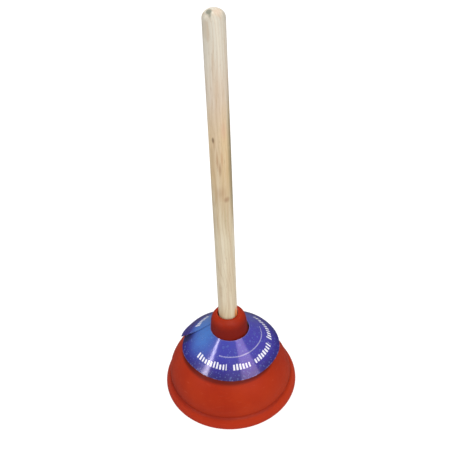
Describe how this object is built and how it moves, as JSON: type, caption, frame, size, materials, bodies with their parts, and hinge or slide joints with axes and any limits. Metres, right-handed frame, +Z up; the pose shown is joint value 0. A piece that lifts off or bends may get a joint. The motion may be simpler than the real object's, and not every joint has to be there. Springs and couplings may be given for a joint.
{
  "type": "sink plunger",
  "caption": "Sink plunger with a flexible red rubber bell, a straight wooden handle with a domed end, and a loose printed card cone on the shoulder.",
  "frame": {"origin": "middle of the cup's rim, on the surface that the plunger stands on", "axes": "+Z up along the handle; the card sleeve's overlapped seam is on the -X side"},
  "size_m": [0.14, 0.14, 0.433],
  "materials": {
    "red_rubber": "satin",
    "handle_wood": "matte",
    "printed_card": "gloss",
    "screw_steel": "satin",
    "washer_steel": "satin"
  },
  "bodies": {
    "cup": {"cup": "red_rubber"},
    "handle": {"handle": "handle_wood", "fixing_screw": "screw_steel", "washer": "washer_steel"},
    "label": {"label_sleeve": "printed_card"}
  },
  "joints": [
    {"name": "plunge", "type": "slide", "parent": "cup", "child": "handle", "axis": [0, 0, 1], "range_m": [-0.03, 0.006], "stiffness_N_per_m": 2000, "deforming": ["cup"]},
    {"name": "label_lift", "type": "slide", "parent": "handle", "child": "label", "axis": [0, 0, 1], "range_m": [0, 0.39]}
  ]
}
